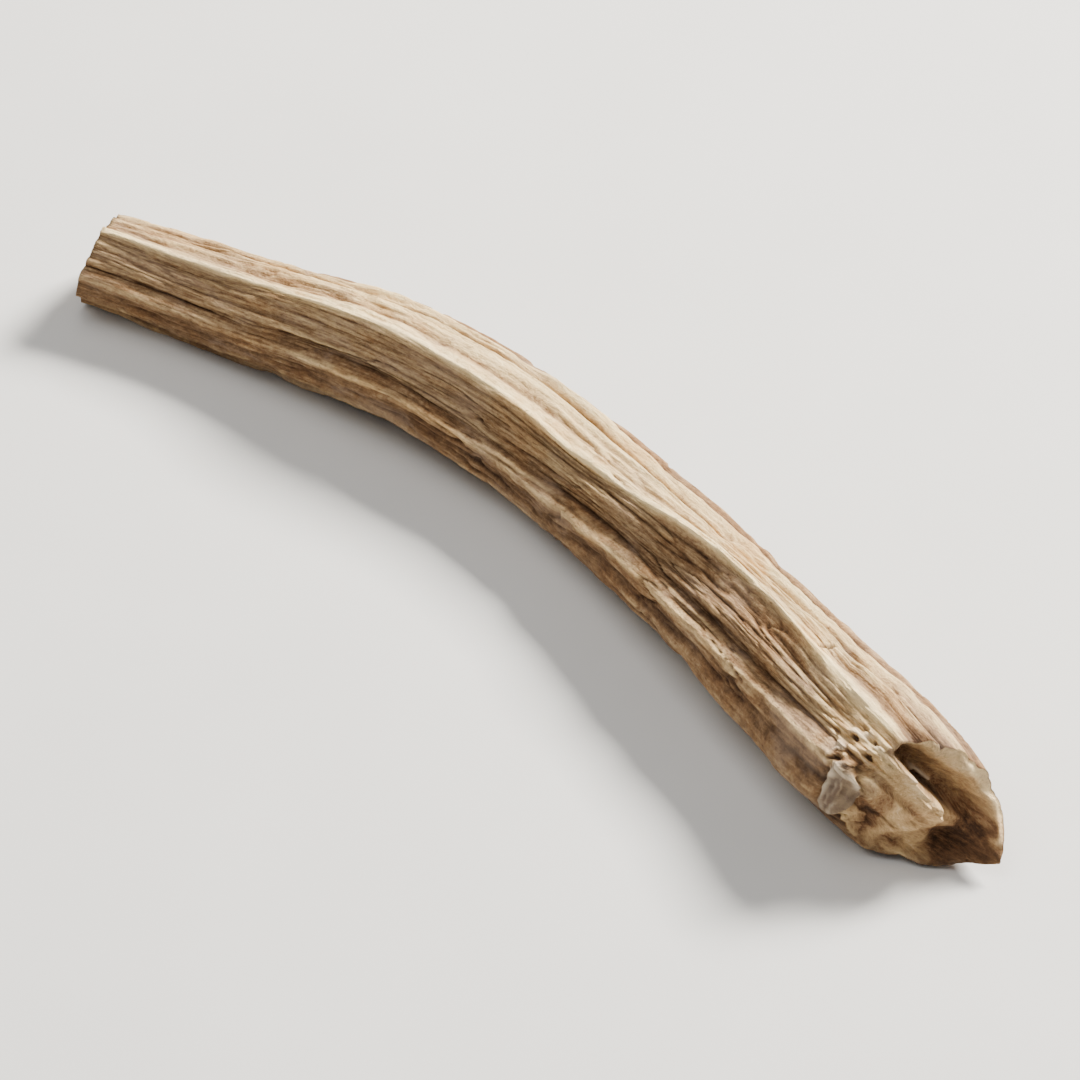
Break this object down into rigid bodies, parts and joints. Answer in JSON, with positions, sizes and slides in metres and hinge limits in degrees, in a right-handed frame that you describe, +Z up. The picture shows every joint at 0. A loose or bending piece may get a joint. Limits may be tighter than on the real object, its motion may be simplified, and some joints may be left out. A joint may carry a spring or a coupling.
{
  "type": "dried shatavari root",
  "caption": "Dried root piece with deep lengthwise folds, gently curved, thicker at its slanting broken end and cut straight at the thin end.",
  "frame": {"origin": "on the surface the piece lies on, under the middle of its bounding box", "axes": "+X along the piece from the thin cut end to the thick broken end, +Z up, +Y to the side the piece bows towards"},
  "size_m": [0.0854, 0.0168, 0.0096],
  "materials": {
    "dried_root": "matte, dry and wrinkled"
  },
  "bodies": {
    "root": {"root": "dried_root"}
  },
  "joints": []
}
